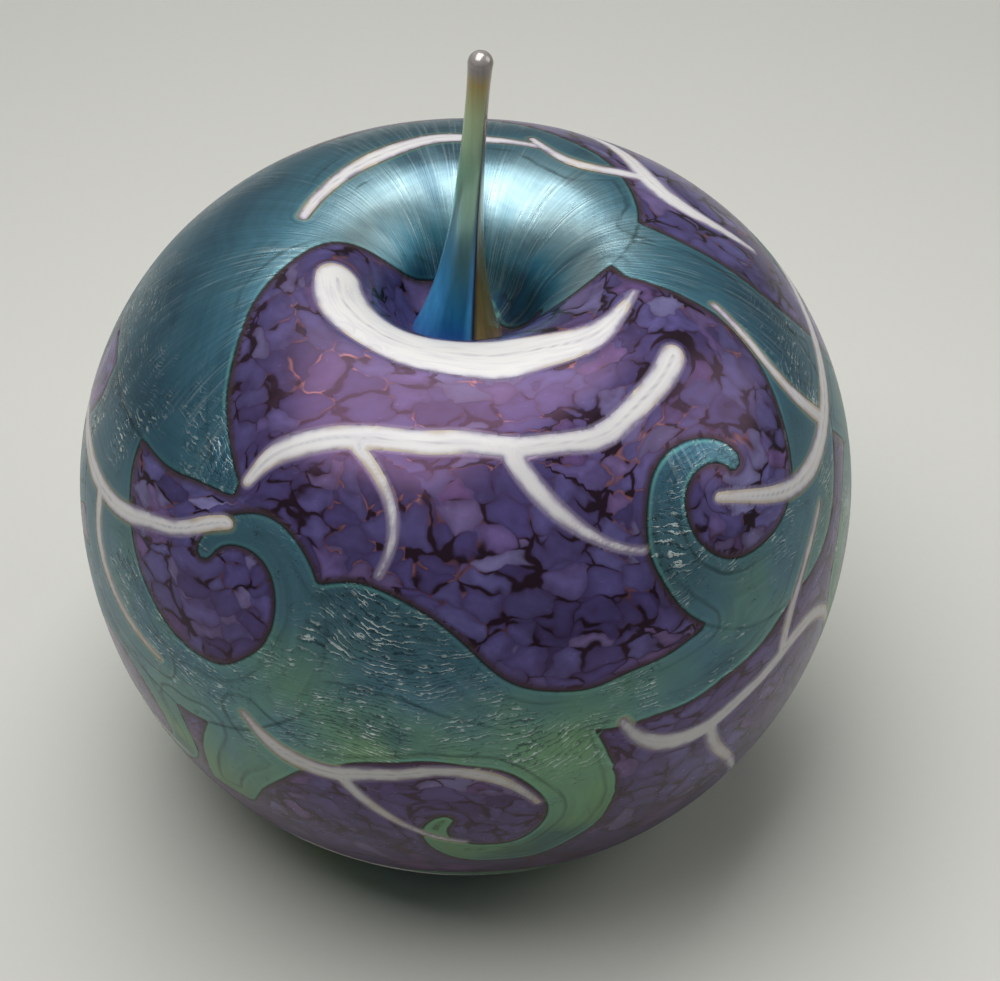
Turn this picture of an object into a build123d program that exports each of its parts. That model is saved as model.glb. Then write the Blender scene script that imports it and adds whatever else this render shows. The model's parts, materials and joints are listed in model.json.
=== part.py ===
from build123d import *

# Art glass apple: a solid paperweight in the shape of an apple, with a deep well and a drawn glass stem.
# A clear heart is cased in frit-coloured glass, and trails of lustre glass and white threads are laid on
# the hot casing, hooked into scrolls, and worked in until they lie flush with its surface.
# Millimetres, +Z up. The origin is the middle of the ground foot, and the front of the apple faces -Y.
import os
from math import cos, exp, log, pi, radians, sin
from typing import NamedTuple

# Body, measured to the glass surface
BODY_DIAMETER = 80.0
BODY_HEIGHT = 66.0  # from the foot to the crest of the lip
EQUATOR_HEIGHT = 36.0  # where the body is widest
CREST_DIAMETER = 32.2  # ring where the lip is highest
FOOT_RING_DIAMETER = 24.0  # ring where the underside is lowest before grinding
FOOT_GRIND = 0.25  # glass ground off to make the flat foot
PONTIL_DIAMETER = 16.0  # clear glass left bare where the iron held the heart

# Well, whose wall is a quarter of an ellipse that runs into a round floor
LIP_WIDTH = 10.5
LIP_DROP = 13.0
LIP_TURN = 62.0  # degrees of the ellipse from the crest to the floor's edge

# Layers of glass, as depths below the surface
CASING_WALL = 3.0
TRAIL_DEPTH = 1.2
THREAD_DEPTH = 0.8

# Stem, a bar of rounded triangular section drawn up from a flared foot
STEM_TIP_HEIGHT = 90.7
STEM_FOOT_RADIUS = 5.5  # of the circle inside the section, as below
STEM_NECK_RADIUS = 1.0
STEM_SWELL = 0.14  # added to the neck where it runs into the bead
STEM_FOOT_X = -0.8
STEM_TIP_X = 1.4
STEM_FLARE = 3.2  # how fast the bar thins above its foot
STEM_RIDGE_ANGLE = 25.0  # the sharpest edge faces the front, turned this far to the right
STEM_ROUNDING = 0.8  # corner radius at the foot, as a share of that circle's radius
STEM_TIP_ROUNDING = 0.95  # and at the tip
STEM_STATIONS = 8
BEAD_DIAMETER = 2.5

# Wrap round the foot, a ring with a wavy outer edge
FOOT_WRAP_INNER_DIAMETER = 37.0
FOOT_WRAP_OUTER_DIAMETER = 61.0
FOOT_WRAP_WAVE = 2.5
FOOT_WRAP_WAVES = 3

SPIRAL_STEP = 30.0  # degrees between the points of a spiral
POINTS_PER_WAVE = 6


class Scroll(NamedTuple):
    """A hooked trail: the band between two spirals of the same growth round one eye.

    The eye is given by its azimuth from the front and its elevation above the equator, in degrees.
    The trail starts at its tail, at the outer radius, and winds in to the inner radius.
    """

    azimuth: float
    elevation: float
    inner: float
    outer: float
    turns: float
    tail_angle: float
    hand: int
    share: float  # half the band's width, as a share of the distance to the eye
    tail_width: float = 0.25
    tail_growth: float = 4.0
    head_width: float = 0.85
    head_growth: float = 0.6


class Ribbon(NamedTuple):
    """A trail or thread along a smooth line, with its full width at each point of that line.

    A branch is a second line with its own widths, drawn on the same plane.
    """

    azimuth: float
    elevation: float
    points: tuple
    widths: tuple
    branches: tuple = ()


# Lustre trails, each with the shape that was drawn out of one gather, in the order of laying
CROWN_SCROLL = Scroll(0, 90, 8.5, 33.0, 0.73, 228, -1, 0.66, 0.02, 3.0, 0.02, 5.0)
CROWN_GAPS = (
    Ribbon(0, 90, ((-20.0, 21.0), (-9.0, 26.5), (3.0, 27.0)), (0.6, 3.4, 0.5)),
    Ribbon(0, 90, ((17.0, 12.0), (21.5, 17.0), (22.0, 23.0)), (0.5, 3.0, 0.6)),
)
TRAILS = {
    "left_shoulder_trail": Scroll(-38, 20, 4.0, 28.0, 1.12, 116, 1, 0.33),
    "right_shoulder_trail": Scroll(46, 30, 3.4, 23.0, 1.10, 66, -1, 0.34),
    "right_back_shoulder_trail": Scroll(110, 24, 3.4, 22.0, 1.15, 92, 1, 0.34),
    "back_shoulder_trail": Scroll(192, 20, 3.6, 25.0, 1.18, 96, -1, 0.35),
    "left_back_shoulder_trail": Scroll(258, 18, 3.2, 21.0, 1.12, 76, -1, 0.35),
    "front_belt_trail": Ribbon(
        -4,
        20,
        ((-15.0, -3.0), (-3.0, -2.0), (10.0, -8.0), (24.0, -6.0), (35.0, 5.0)),
        (7.5, 9.5, 5.0, 7.0, 3.0),
    ),
    "front_base_trail": Scroll(2, -16, 3.6, 26.0, 1.12, 200, -1, 0.35),
    "right_base_trail": Scroll(80, -8, 3.6, 27.0, 1.12, 262, 1, 0.34),
    "back_base_trail": Scroll(152, -10, 3.6, 28.0, 1.10, 248, -1, 0.34),
    "left_back_base_trail": Scroll(222, -12, 3.6, 26.0, 1.12, 285, 1, 0.34),
    "left_base_trail": Scroll(301, -18, 3.4, 24.0, 1.15, 266, -1, 0.34),
}

# White glass, laid over the trails and the casing: a wrap on the lip of the well, and threads
LIP_SCROLL = Scroll(0, 90, 13.0, 17.5, 0.42, 342, -1, 0.2, 0.05, 2.5, 0.8, 0.8)
THREADS = {
    "front_thread": Ribbon(
        0,
        42,
        ((-21.0, 0.0), (-11.0, 4.5), (4.0, 3.0), (20.0, 12.0)),
        (1.0, 2.4, 2.0, 2.6),
        (
            (((4.0, 3.0), (9.0, -3.0), (17.0, -6.0)), (1.8, 1.3, 0.6)),
            (((-11.0, 4.5), (-7.0, -2.0), (-8.0, -9.0)), (1.4, 0.9, 0.5)),
        ),
    ),
    "right_thread": Ribbon(
        90,
        20,
        ((-24.0, 10.0), (-8.0, 2.0), (10.0, 6.0), (26.0, -4.0)),
        (1.0, 2.4, 1.8, 0.7),
        ((((-8.0, 2.0), (-9.0, 10.0), (-5.0, 18.0)), (1.6, 1.2, 0.6)),),
    ),
    "back_thread": Ribbon(
        180,
        30,
        ((-25.0, -4.0), (-6.0, -12.0), (12.0, -4.0), (24.0, 6.0)),
        (2.2, 1.4, 2.2, 0.8),
        ((((12.0, -4.0), (14.0, -12.0), (22.0, -18.0)), (1.6, 1.1, 0.6)),),
    ),
    "left_thread": Ribbon(
        270,
        10,
        ((-24.0, -12.0), (-6.0, 2.0), (12.0, 4.0), (26.0, 14.0)),
        (0.8, 2.4, 2.0, 1.4),
        ((((12.0, 4.0), (17.0, -3.0), (26.0, -5.0)), (1.6, 1.2, 0.6)),),
    ),
    "low_thread": Ribbon(
        20, 0, ((-26.0, -24.0), (-8.0, -27.5), (12.0, -26.5), (26.0, -20.0)), (0.8, 1.8, 1.6, 1.0)
    ),
    "right_shoulder_thread": Ribbon(
        140,
        40,
        ((-17.0, 2.0), (-5.0, 7.0), (7.0, 2.0), (19.0, 6.0)),
        (0.8, 2.2, 1.6, 0.7),
        ((((-5.0, 7.0), (1.0, 10.5), (8.0, 10.0)), (1.4, 1.0, 0.6)),),
    ),
    "right_base_thread": Ribbon(
        43,
        -14,
        ((-14.0, 11.0), (-4.0, 6.0), (6.0, 9.0), (17.0, 3.0)),
        (0.8, 2.2, 1.8, 0.8),
        (
            (((-4.0, 6.0), (0.0, -3.0), (5.0, -11.0)), (1.6, 1.2, 0.6)),
            (((6.0, 9.0), (9.0, 15.0), (15.0, 19.0)), (1.5, 1.1, 0.6)),
        ),
    ),
    "front_base_thread": Ribbon(
        -9,
        -8,
        ((-16.0, 5.0), (-6.0, 1.0), (5.0, 3.5), (13.0, -2.0)),
        (0.8, 2.0, 1.5, 0.6),
        ((((-6.0, 1.0), (-1.0, -5.0), (6.0, -9.0)), (1.4, 1.0, 0.5)),),
    ),
    "back_base_thread": Ribbon(
        178,
        -20,
        ((-20.0, 2.0), (-6.0, -6.0), (8.0, -2.0), (20.0, -8.0)),
        (0.9, 2.2, 1.8, 0.7),
        ((((8.0, -2.0), (12.0, 5.0), (19.0, 8.0)), (1.5, 1.1, 0.6)),),
    ),
    "left_base_thread": Ribbon(288, -26, ((-14.0, -2.0), (0.0, 4.0), (14.0, 1.0)), (0.8, 2.0, 0.8)),
    "crown_thread": Ribbon(205, 60, ((-14.0, 3.0), (-2.0, -2.0), (12.0, 4.0)), (0.7, 2.0, 1.0)),
}

body_radius = BODY_DIAMETER / 2
crest_radius = CREST_DIAMETER / 2
foot_ring_radius = FOOT_RING_DIAMETER / 2
reach = BODY_DIAMETER + BODY_HEIGHT  # longer than any way through the body


def section(depth):
    """Half of the body's section at a depth below the glass surface, standing on the XZ plane."""
    foot = depth - FOOT_GRIND
    lip_width = LIP_WIDTH - depth
    lip_drop = LIP_DROP - depth
    lip_end = radians(90 + LIP_TURN)
    edge_x = crest_radius + lip_width * cos(lip_end)
    edge_z = BODY_HEIGHT - LIP_DROP + lip_drop * sin(lip_end)
    # The floor is an arc about a point on the axis, tangent to the wall where the wall ends
    rise = -edge_x * (sin(lip_end) / lip_drop) / (cos(lip_end) / lip_width)
    floor = edge_z + rise - (edge_x**2 + rise**2) ** 0.5
    with BuildSketch(Plane.XZ) as half:
        with BuildLine():
            EllipticalCenterArc(
                (foot_ring_radius, EQUATOR_HEIGHT),
                body_radius - foot_ring_radius - depth,
                EQUATOR_HEIGHT - foot,
                start_angle=270,
                arc_size=90,
            )
            EllipticalCenterArc(
                (crest_radius, EQUATOR_HEIGHT),
                body_radius - crest_radius - depth,
                BODY_HEIGHT - EQUATOR_HEIGHT - depth,
                start_angle=0,
                arc_size=90,
            )
            lip = EllipticalCenterArc(
                (crest_radius, BODY_HEIGHT - LIP_DROP),
                lip_width,
                lip_drop,
                start_angle=90,
                arc_size=LIP_TURN,
            )
            TangentArc(lip @ 1, (0, floor), tangent=lip % 1)
            Polyline((0, floor), (0, foot), (foot_ring_radius, foot))
        make_face()
    return half.sketch


def facing(shape):
    """Plane through the middle of the body that looks out at a shape's azimuth and elevation."""
    turn = radians(shape.azimuth)
    tilt = radians(shape.elevation)
    return Plane(
        origin=(0, 0, EQUATOR_HEIGHT),
        x_dir=(cos(turn), sin(turn), 0),
        z_dir=(cos(tilt) * sin(turn), -cos(tilt) * cos(turn), sin(tilt)),
    )


def scroll_area(scroll):
    """Area of a hooked trail, drawn on the plane that faces its eye."""
    growth = log(scroll.outer / scroll.inner)
    count = round(scroll.turns * 360 / SPIRAL_STEP)
    outside = []
    inside = []
    for index in range(count + 1):
        along = index / count
        angle = radians(scroll.tail_angle + scroll.hand * 360 * scroll.turns * along)
        middle = scroll.outer * exp(-growth * along)
        tail = min(1.0, scroll.tail_width + scroll.tail_growth * along)
        head = min(1.0, scroll.head_width + scroll.head_growth * (1 - along))
        half_width = middle * scroll.share * tail * head
        outside.append(((middle + half_width) * cos(angle), (middle + half_width) * sin(angle)))
        inside.append(((middle - half_width) * cos(angle), (middle - half_width) * sin(angle)))
    with BuildSketch(facing(scroll)) as area:
        with BuildLine():
            outer_edge = Spline(*outside)
            TangentArc(outside[-1], inside[-1], tangent=outer_edge % 1)
            Spline(*reversed(inside))
            Line(inside[0], outside[0])
        make_face()
    return area.sketch


def ribbon_edges(points, widths):
    """Points of a ribbon's two edges, half its width to each side of its line."""
    with BuildLine(mode=Mode.PRIVATE):
        spine = Spline(*points, mode=Mode.PRIVATE)
    left = []
    right = []
    for point, width in zip(points, widths):
        along = spine.param_at_point(point)
        aside = (spine % along).rotate(Axis.Z, 90) * (width / 2)
        left.append(Vector(point) + aside)
        right.append(Vector(point) - aside)
    return left, right


def ribbon_area(ribbon):
    """Area of a ribbon and its branches, drawn on the plane that faces it, with round ends."""
    lines = ((ribbon.points, ribbon.widths), *ribbon.branches)
    with BuildSketch(facing(ribbon)) as area:
        for left, right in [ribbon_edges(points, widths) for points, widths in lines]:
            with BuildLine():
                left_edge = Spline(*left)
                TangentArc(left[-1], right[-1], tangent=left_edge % 1)
                right_edge = Spline(*reversed(right))
                TangentArc(right[0], left[0], tangent=right_edge % 1)
            make_face()
    return area.sketch


def outline(shape):
    """Area of a trail's shape, whichever kind it is."""
    return scroll_area(shape) if isinstance(shape, Scroll) else ribbon_area(shape)


# Whole glass at its surface, and at the depth of the trails and of the threads
with BuildPart() as body:
    add(section(0))
    revolve(axis=Axis.Z)
    split(bisect_by=Plane.XY, keep=Keep.TOP)

with BuildPart() as trail_layer:
    add(body.part)
    revolve(section(TRAIL_DEPTH), axis=Axis.Z, mode=Mode.SUBTRACT)

with BuildPart() as thread_layer:
    add(body.part)
    revolve(section(THREAD_DEPTH), axis=Axis.Z, mode=Mode.SUBTRACT)


def largest(built):
    """Largest solid of a built part, without the crumbs that crossing trails cut off."""
    return built.part.solids().sort_by(SortBy.VOLUME)[-1]


def laid_in(shape, layer, over, gaps=()):
    """Piece of glass laid into a layer, less what was laid over it.

    Where another piece crosses it, its longest stretch is kept.
    """
    with BuildPart() as piece:
        extrude(outline(shape), amount=reach)
        for gap in gaps:
            extrude(outline(gap), amount=reach, mode=Mode.SUBTRACT)
        add(layer, mode=Mode.INTERSECT)
        for other in over:
            add(other, mode=Mode.SUBTRACT)
    return largest(piece)


def foot_wrap_area():
    """Ring round the foot, seen from above, whose outer edge runs in waves."""
    edge = []
    for index in range(FOOT_WRAP_WAVES * POINTS_PER_WAVE):
        angle = 2 * pi * index / (FOOT_WRAP_WAVES * POINTS_PER_WAVE)
        radius = FOOT_WRAP_OUTER_DIAMETER / 2 + FOOT_WRAP_WAVE * sin(FOOT_WRAP_WAVES * angle)
        edge.append((radius * cos(angle), radius * sin(angle)))
    with BuildSketch() as area:
        with BuildLine():
            Spline(*edge, periodic=True)
        make_face()
        Circle(FOOT_WRAP_INNER_DIAMETER / 2, mode=Mode.SUBTRACT)
    return area.sketch


def stem_section(along):
    """Rounded triangle across the stem, at a share of the way from its foot to its tip."""
    neck_height = STEM_TIP_HEIGHT - BEAD_DIAMETER / 2
    flare = (STEM_FOOT_RADIUS - STEM_NECK_RADIUS) * exp(-STEM_FLARE * along) * (1 - along)
    radius = STEM_NECK_RADIUS + flare + STEM_SWELL * along**8
    rounding = STEM_ROUNDING + (STEM_TIP_ROUNDING - STEM_ROUNDING) * along**3
    centre = (
        STEM_FOOT_X + (STEM_TIP_X - STEM_FOOT_X) * along,
        0,
        stem_base + (neck_height - stem_base) * along,
    )
    with BuildSketch(Plane(origin=centre)) as area:
        RegularPolygon(radius, 3, major_radius=False, rotation=STEM_RIDGE_ANGLE - 90)
        fillet(area.vertices(), rounding * radius)
    return area.sketch


# Pieces laid on the casing, the white first because it lies over the trails
laid = {}
laid["lip_wrap"] = laid_in(LIP_SCROLL, thread_layer.part, laid.values())
for name, thread in THREADS.items():
    laid[name] = laid_in(thread, thread_layer.part, laid.values())
laid["crown_wrap"] = laid_in(CROWN_SCROLL, trail_layer.part, laid.values(), gaps=CROWN_GAPS)
for name, trail in TRAILS.items():
    laid[name] = laid_in(trail, trail_layer.part, laid.values())

with BuildPart() as foot_wrap:
    extrude(foot_wrap_area(), amount=EQUATOR_HEIGHT)
    add(trail_layer.part, mode=Mode.INTERSECT)
    for other in laid.values():
        add(other, mode=Mode.SUBTRACT)
laid["foot_wrap"] = largest(foot_wrap)

# Clear heart, bare at the foot where the iron held it
with BuildPart() as heart:
    revolve(section(CASING_WALL), axis=Axis.Z)
    with BuildSketch():
        Circle(PONTIL_DIAMETER / 2)
    extrude(amount=EQUATOR_HEIGHT)

# Frit-coloured casing, with a seat for everything that was laid into it
with BuildPart() as casing:
    add(body.part)
    add(heart.part, mode=Mode.SUBTRACT)
    for piece in laid.values():
        add(piece, mode=Mode.SUBTRACT)

# Stem, drawn out of the well's floor and finished with a bead
stem_base = BODY_HEIGHT - LIP_DROP
with BuildPart() as stem:
    loft([stem_section(index / (STEM_STATIONS - 1)) for index in range(STEM_STATIONS)])
    with Locations((STEM_TIP_X, 0, STEM_TIP_HEIGHT - BEAD_DIAMETER / 2)):
        Sphere(BEAD_DIAMETER / 2)
    add(body.part, mode=Mode.SUBTRACT)

pieces = {"heart": heart.part, "casing": largest(casing), "stem": stem.part} | laid
os.makedirs("parts", exist_ok=True)
for name, piece in pieces.items():
    piece.label = name
    export_step(piece, f"parts/{name}.step")
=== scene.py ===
"""Art glass apple: a fine mesh and a finish for every piece, on a pale floor in soft light."""

import json
import logging
import math
from dataclasses import dataclass, field
from enum import Enum
from functools import partial
from typing import Callable, ClassVar, Mapping, Sequence

import bpy
import numpy as np
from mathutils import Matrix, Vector
from mathutils.bvhtree import BVHTree
from mathutils.kdtree import KDTree


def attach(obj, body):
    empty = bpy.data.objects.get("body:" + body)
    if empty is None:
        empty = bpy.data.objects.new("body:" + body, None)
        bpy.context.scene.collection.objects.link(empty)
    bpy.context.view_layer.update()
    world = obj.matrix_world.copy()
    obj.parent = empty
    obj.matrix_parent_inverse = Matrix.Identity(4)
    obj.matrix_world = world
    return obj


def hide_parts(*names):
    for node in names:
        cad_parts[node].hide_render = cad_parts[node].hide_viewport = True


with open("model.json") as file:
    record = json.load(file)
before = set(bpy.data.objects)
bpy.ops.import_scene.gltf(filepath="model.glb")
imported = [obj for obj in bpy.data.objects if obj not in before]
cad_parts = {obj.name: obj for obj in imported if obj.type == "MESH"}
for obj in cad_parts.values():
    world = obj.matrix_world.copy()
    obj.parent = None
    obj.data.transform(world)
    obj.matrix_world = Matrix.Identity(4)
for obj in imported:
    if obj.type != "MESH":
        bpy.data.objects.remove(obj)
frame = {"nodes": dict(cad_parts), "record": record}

MM = 0.001  # the form is written in millimetres, and the scene is in metres
TINY_MM = 1e-6  # keeps a division by a distance safe
WAVE_SPREAD = 1.7  # about the length of a wave vector whose three parts are normal draws
BODY = "root"
LOG = logging.getLogger("apple")

Face = tuple[int, ...]
Span = tuple[float, float]
Stops = tuple[tuple[float, str], ...]
Socket = bpy.types.NodeSocket
Put = Callable[..., Socket]

# Settings that many nodes share: a mix of two colours, and a range with soft ends
COLOURS = {"data_type": "RGBA", "out": 2}
SOFT_ENDS = {"interpolation_type": "SMOOTHSTEP"}


class Glass(Enum):
    """The kinds of glass that meet the surface, by the record's material slots."""

    CASING = "frit_casing"
    LUSTRE = "lustre_glass"
    WHITE = "white_glass"


class Edge(Enum):
    """The kinds of edge between pieces, by the name of the field that holds the distance to one."""

    LUSTRE = "lustre_gap"
    JOIN = "join_gap"
    WHITE = "white_gap"


def linear(colour: str) -> tuple[float, float, float, float]:
    """Turns an sRGB hex colour into linear values.

    Args:
        colour: six hex digits after a hash.

    Returns:
        Red, green, blue and an alpha of one.
    """
    parts = [int(colour[i : i + 2], 16) / 255 for i in (1, 3, 5)]
    flat = [c / 12.92 if c <= 0.04045 else ((c + 0.055) / 1.055) ** 2.4 for c in parts]
    return (*flat, 1.0)


def add_node(
    tree: bpy.types.NodeTree,
    kind: str,
    inputs: Mapping[int | str, object] | None = None,
    out: int | str = 0,
    stops: Stops = (),
    **settings: object,
) -> Socket:
    """Adds one shader node with its settings and links.

    Args:
        tree: the material's node tree.
        kind: the node's type without its ShaderNode prefix.
        inputs: a constant or another node's output for each input named.
        out: the output to hand back.
        stops: places and hex colours of a colour ramp, from its start to its end.
        settings: the node's own properties.

    Returns:
        The node's output socket.
    """
    made = tree.nodes.new("ShaderNode" + kind)
    for name, value in settings.items():
        setattr(made, name, value)
    for place, (at, colour) in enumerate(stops):
        elements = made.color_ramp.elements
        is_inner = 0 < place < len(stops) - 1
        element = elements.new(at) if is_inner else elements[-1 if place else 0]
        element.position = at
        element.color = linear(colour)
    for key, value in (inputs or {}).items():
        if isinstance(value, Socket):
            tree.links.new(value, made.inputs[key])
        else:
            made.inputs[key].default_value = value
    return made.outputs[out] if made.outputs else made.inputs[0]


def smooth_waves(point: np.ndarray, seed: int, count: int, length_mm: float, width: int) -> np.ndarray:
    """Adds up sine waves that run in random directions.

    Args:
        point: places in millimetres.
        seed: the seed of the draws.
        count: how many waves are added up.
        length_mm: the usual length of a wave.
        width: how many sums are made side by side.

    Returns:
        A row for each place, with one value for each sum.
    """
    draw = np.random.default_rng(seed)
    total = np.zeros((len(point), width))
    for _ in range(count):
        wave = draw.normal(size=(3, width)) * (2 * math.pi / length_mm / WAVE_SPREAD)
        total += np.sin(point @ wave + draw.uniform(0, 2 * math.pi, width))
    return total


def new_piece(
    node: str,
    corners: np.ndarray,
    faces: Sequence[Face],
    fields: Mapping[str, np.ndarray],
    material: bpy.types.Material,
    sharp_angle: float | None = None,
) -> bpy.types.Object:
    """Makes a piece of the apple and puts it in the place of a solid.

    Args:
        node: the solid that the piece stands for.
        corners: the mesh's points in millimetres.
        faces: the mesh's faces.
        fields: values at each point, which the finish reads.
        material: the piece's finish.
        sharp_angle: the angle in degrees over which an edge stays sharp, if any does.

    Returns:
        The new object.
    """
    mesh = bpy.data.meshes.new(node)
    mesh.from_pydata((corners * MM).tolist(), [], faces)
    for label, values in fields.items():
        kind, key = ("FLOAT", "value") if values.ndim == 1 else ("FLOAT_VECTOR", "vector")
        mesh.attributes.new(label, kind, "POINT").data.foreach_set(key, values.ravel())
    mesh.shade_smooth()
    if sharp_angle is not None:
        mesh.set_sharp_from_angle(angle=math.radians(sharp_angle))
    mesh.materials.append(material)
    made = bpy.data.objects.new(node + "_glass", mesh)
    bpy.context.collection.objects.link(made)
    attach(made, BODY)
    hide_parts(node)
    LOG.info("%s: %d faces", made.name, len(mesh.polygons))
    return made


@dataclass(frozen=True)
class BodyForm:
    """The apple's turned outline, in millimetres, as the solids have it."""

    diameter: float = 80.0
    height: float = 66.0
    equator: float = 36.0
    crest: float = 32.2
    foot_ring: float = 24.0
    foot_grind: float = 0.25
    pontil: float = 16.0
    lip_width: float = 10.5
    lip_drop: float = 13.0
    lip_turn: float = 62.0
    side_steps: int = 600
    lip_steps: int = 300
    well_steps: int = 120

    def outline(self) -> np.ndarray:
        """Half section of the glass surface.

        Returns:
            Points of radius and height, from the bare glass in the foot over the crest to the well's floor.
        """
        start = math.acos(self.equator / (self.equator + self.foot_grind))
        low = np.linspace(start, math.pi / 2, self.side_steps)
        high = np.linspace(0, math.pi / 2, self.side_steps)[1:]
        lip = np.linspace(0, math.radians(self.lip_turn), self.lip_steps)[1:]
        half, foot, crest = self.diameter / 2, self.foot_ring / 2, self.crest / 2
        radius = [
            [self.pontil / 2],
            foot + (half - foot) * np.sin(low),
            crest + (half - crest) * np.cos(high),
            crest - self.lip_width * np.sin(lip),
        ]
        height = [
            [0.0],
            self.equator - (self.equator + self.foot_grind) * np.cos(low),
            self.equator + (self.height - self.equator) * np.sin(high),
            self.height - self.lip_drop * (1 - np.cos(lip)),
        ]
        # The well's floor is a round that carries on from the lip's slope
        edge_r, edge_z = radius[-1][-1], height[-1][-1]
        rise = edge_r * self.lip_width / (self.lip_drop * math.tan(lip[-1]))
        reach = math.hypot(edge_r, rise)
        sweep = np.linspace(math.atan2(edge_r, rise), 0.0, self.well_steps)[1:]
        radius.append(reach * np.sin(sweep))
        height.append(edge_z + rise - reach * np.cos(sweep))
        return np.stack([np.concatenate(radius), np.concatenate(height)], axis=1)


@dataclass
class Layout:
    """Which piece of glass shows at each place on the surface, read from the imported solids."""

    form: BodyForm
    tolerance_mm: float = 0.1
    sample_mm: float = 0.12
    join_mm: float = 0.15
    reach_mm: float = 2.0
    names: list[str] = field(init=False)
    kinds: list[Glass] = field(init=False)
    owner: list[int] = field(default_factory=list, init=False)
    tree: BVHTree = field(init=False)
    edges: dict[Edge, KDTree] = field(init=False)

    def __post_init__(self) -> None:
        """Reads the outer faces of the casing and of every piece laid into it."""
        slots = {row["node"]: row["material_slot"] for row in frame["record"]["subparts"]}
        kinds = {glass.value: glass for glass in Glass}
        self.names = [name for name in sorted(frame["nodes"]) if slots[name] in kinds]
        self.kinds = [kinds[slots[name]] for name in self.names]
        outline = self.form.outline()
        outline = self.forest(np.column_stack([outline, np.zeros(len(outline))]))
        points, faces = [], []
        borders = {Glass.LUSTRE: [], Glass.WHITE: []}
        count = 0
        for index, (name, kind) in enumerate(zip(self.names, self.kinds)):
            corners, outer = self.outer_face(name, outline)
            points.append(corners)
            faces.extend((outer + count).tolist())
            self.owner.extend([index] * len(outer))
            count += len(corners)
            if kind in borders:
                borders[kind].append(self.border(corners, outer))
        self.tree = BVHTree.FromPolygons(np.vstack(points).tolist(), faces)
        free, joined = self.sorted_borders(borders[Glass.LUSTRE])
        self.edges = {
            Edge.LUSTRE: self.forest(free),
            Edge.JOIN: self.forest(joined),
            Edge.WHITE: self.forest(np.vstack(borders[Glass.WHITE])),
        }

    def outer_face(self, name: str, outline: KDTree) -> tuple[np.ndarray, np.ndarray]:
        """Finds the part of a solid that shows on the apple's surface.

        Args:
            name: the solid's node.
            outline: points of the turned outline.

        Returns:
            The solid's points in millimetres, and its triangles that lie on the outline or on the foot.
        """
        mesh = frame["nodes"][name].data
        corners = np.empty(len(mesh.vertices) * 3)
        mesh.vertices.foreach_get("co", corners)
        corners = corners.reshape(-1, 3) / MM
        mesh.calc_loop_triangles()
        triangles = np.empty(len(mesh.loop_triangles) * 3, int)
        mesh.loop_triangles.foreach_get("vertices", triangles)
        triangles = triangles.reshape(-1, 3)
        radius, height = np.hypot(corners[:, 0], corners[:, 1]), corners[:, 2]
        away = np.array([outline.find((r, z, 0.0))[2] for r, z in zip(radius, height)])
        on_foot = (height < self.tolerance_mm) & (radius < self.form.foot_ring)
        on_top = (away < self.tolerance_mm) | on_foot
        return corners, triangles[on_top[triangles].all(axis=1)]

    def border(self, corners: np.ndarray, outer: np.ndarray) -> np.ndarray:
        """Samples the edge of a piece's outer face.

        Args:
            corners: the piece's points.
            outer: the triangles of its outer face.

        Returns:
            Points along every edge that has a triangle on one side only.
        """
        _, merged = np.unique(np.round(corners, 3), axis=0, return_inverse=True)
        merged = merged.reshape(-1)
        sides = np.vstack([outer[:, [0, 1]], outer[:, [1, 2]], outer[:, [2, 0]]])
        keys = np.sort(merged[sides], axis=1)
        _, first, count = np.unique(keys, axis=0, return_index=True, return_counts=True)
        ends = corners[sides[first[count == 1]]]
        steps = np.ceil(np.linalg.norm(ends[:, 1] - ends[:, 0], axis=1) / self.sample_mm).astype(int)
        return np.vstack(
            [a + (b - a) * np.arange(n)[:, None] / n for (a, b), n in zip(ends, np.maximum(steps, 1))]
        )

    def sorted_borders(self, borders: Sequence[np.ndarray]) -> tuple[np.ndarray, np.ndarray]:
        """Tells the edges against other glass from the joins between pieces of the same glass.

        Args:
            borders: points along the edge of each piece.

        Returns:
            The points that lie against other glass, and those that lie on a join.
        """
        points = np.vstack(borders)
        owner = np.repeat(np.arange(len(borders)), [len(b) for b in borders])
        tree = self.forest(points)
        joined = np.array(
            [
                any(owner[hit[1]] != own for hit in tree.find_range(point, self.join_mm))
                for point, own in zip(points, owner)
            ]
        )
        return points[~joined], points[joined]

    @staticmethod
    def forest(points: np.ndarray) -> KDTree:
        """Puts points into a tree for finding the nearest one.

        Args:
            points: the points.

        Returns:
            The tree, which numbers the points in their order.
        """
        tree = KDTree(len(points))
        for place, point in enumerate(points):
            tree.insert(point, place)
        tree.balance()
        return tree

    def pieces_at(self, points: np.ndarray, normals: np.ndarray) -> np.ndarray:
        """Finds the piece under each point of the surface.

        Args:
            points: places on the surface.
            normals: outward directions there.

        Returns:
            An index into names for each point.
        """
        found = np.empty(len(points), int)
        for place, (point, normal) in enumerate(zip(points, normals)):
            hit = self.tree.ray_cast(Vector(point + normal), Vector(-normal), self.reach_mm)[2]
            if hit is None:
                hit = self.tree.find_nearest(Vector(point))[2]
            found[place] = self.owner[hit]
        return found

    def gaps(self, kind: Edge, points: np.ndarray) -> tuple[np.ndarray, np.ndarray]:
        """Measures how far each point is from the nearest edge of a kind.

        Args:
            kind: the kind of edge.
            points: places on the surface.

        Returns:
            The distances, and the nearest points of the edge.
        """
        nearest = np.empty((len(points), 3))
        distance = np.empty(len(points))
        for place, point in enumerate(points):
            nearest[place], _, distance[place] = self.edges[kind].find(point)
        return distance, nearest


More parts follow.
